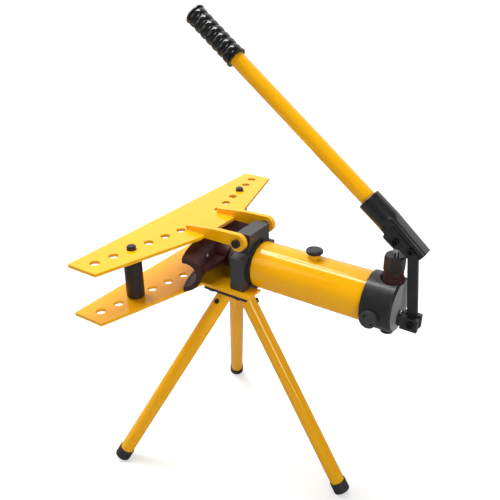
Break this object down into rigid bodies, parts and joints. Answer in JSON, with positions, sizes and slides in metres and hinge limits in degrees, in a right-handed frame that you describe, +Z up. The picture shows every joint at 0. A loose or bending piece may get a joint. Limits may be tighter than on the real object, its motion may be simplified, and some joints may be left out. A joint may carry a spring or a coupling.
{
  "type": "hydraulic pipe bender",
  "caption": "Hydraulic pipe bender on a tripod: hinged wing plates with rollers, a grooved former on a ram, a hand pump with a lever and an oil tank.",
  "frame": {"origin": "on the floor, under the middle of the machine's length and width", "axes": "+X along the ram axis from the former to the pump, +Z up, +Y to the machine's right seen from the front"},
  "size_m": [0.5738, 0.546, 0.9323],
  "materials": {
    "yellow_paint": "gloss enamel",
    "black_paint": "satin enamel",
    "head_casting": "painted, turned end",
    "brown_casting": "primer",
    "oxide_steel": "black oxide",
    "bright_steel": "ground",
    "rubber": "matte",
    "grip_rubber": "glossy",
    "cap_plastic": "moulded",
    "bronze": "machined"
  },
  "bodies": {
    "frame": {"tripod_plate": "black_paint", "leg_stubs": "black_paint", "leg_rear": "yellow_paint", "leg_left": "yellow_paint", "leg_right": "yellow_paint", "foot_rear": "rubber", "foot_left": "rubber", "foot_right": "rubber", "leg_screws": "oxide_steel", "base_bolts": "oxide_steel", "lower_wing": "yellow_paint", "block": "black_paint", "lock_ring": "black_paint", "tank_tube": "yellow_paint", "filler_neck": "yellow_paint", "work_cylinder": "bright_steel", "cylinder_seals": "rubber", "rod_guide": "bronze", "rod_wiper": "rubber", "hinge_bolts": "oxide_steel", "return_spring": "bright_steel", "pump_head": "head_casting", "pump_barrel": "brown_casting", "pump_gland": "oxide_steel", "plunger_packing": "rubber", "valve_balls": "bright_steel", "drain_plug": "oxide_steel", "release_ball": "bright_steel", "clevis": "black_paint", "clevis_nut": "black_paint", "clevis_pin": "oxide_steel"},
    "upper_wing": {"upper_wing": "yellow_paint", "hinge_lugs": "yellow_paint"},
    "ram": {"ram_rod": "bright_steel", "piston": "bright_steel", "piston_seal": "rubber", "former": "brown_casting"},
    "roller_left": {"roller_left": "oxide_steel"},
    "roller_right": {"roller_right": "oxide_steel"},
    "link": {"link": "black_paint"},
    "handle": {"handle_socket": "black_paint", "handle_tube": "yellow_paint", "handle_grip": "grip_rubber", "link_pin": "oxide_steel", "plunger_pin": "oxide_steel"},
    "plunger": {"plunger": "bright_steel"},
    "release_valve": {"release_knob": "oxide_steel", "release_spindle": "bright_steel"},
    "filler_cap": {"filler_cap": "cap_plastic"}
  },
  "joints": [
    {"name": "handle_pump", "type": "hinge", "parent": "link", "child": "handle", "pos_m": [0.25993, 0, 0.588], "axis": [0, 1, 0], "range_deg": [-25, 30]},
    {"name": "link_swing", "type": "hinge", "parent": "frame", "child": "link", "pos_m": [0.27493, 0, 0.4565], "axis": [0, 1, 0], "range_deg": [-4, 4]},
    {"name": "plunger_slide", "type": "slide", "parent": "frame", "child": "plunger", "axis": [0, 0, 1], "range_m": [-0.012, 0.016]},
    {"name": "ram_slide", "type": "slide", "parent": "frame", "child": "ram", "axis": [-1, 0, 0], "range_m": [0, 0.13], "stiffness_N_per_m": 1200, "springref_m": -0.01, "deforming": ["return_spring"]},
    {"name": "upper_wing_hinge", "type": "hinge", "parent": "frame", "child": "upper_wing", "pos_m": [-0.04257, 0, 0.5397], "axis": [0, 1, 0], "range_deg": [0, 95]},
    {"name": "roller_left_spin", "type": "hinge", "parent": "frame", "child": "roller_left", "pos_m": [-0.18857, -0.1714, 0.48], "axis": [0, 0, 1], "continuous": true},
    {"name": "roller_right_spin", "type": "hinge", "parent": "frame", "child": "roller_right", "pos_m": [-0.18857, 0.1714, 0.48], "axis": [0, 0, 1], "continuous": true},
    {"name": "release_turn", "type": "hinge", "parent": "frame", "child": "release_valve", "pos_m": [0.21693, -0.057, 0.469], "axis": [0, -1, 0], "range_deg": [0, 180]},
    {"name": "filler_cap_turn", "type": "hinge", "parent": "frame", "child": "filler_cap", "pos_m": [0.08693, 0, 0.535], "axis": [0, 0, 1], "range_deg": [0, 360]}
  ],
  "couplings": [
    {"joint": "link_swing", "follows": "handle_pump", "ratio": -0.08},
    {"joint": "plunger_slide", "follows": "handle_pump", "m_per_rad": 0.022}
  ]
}
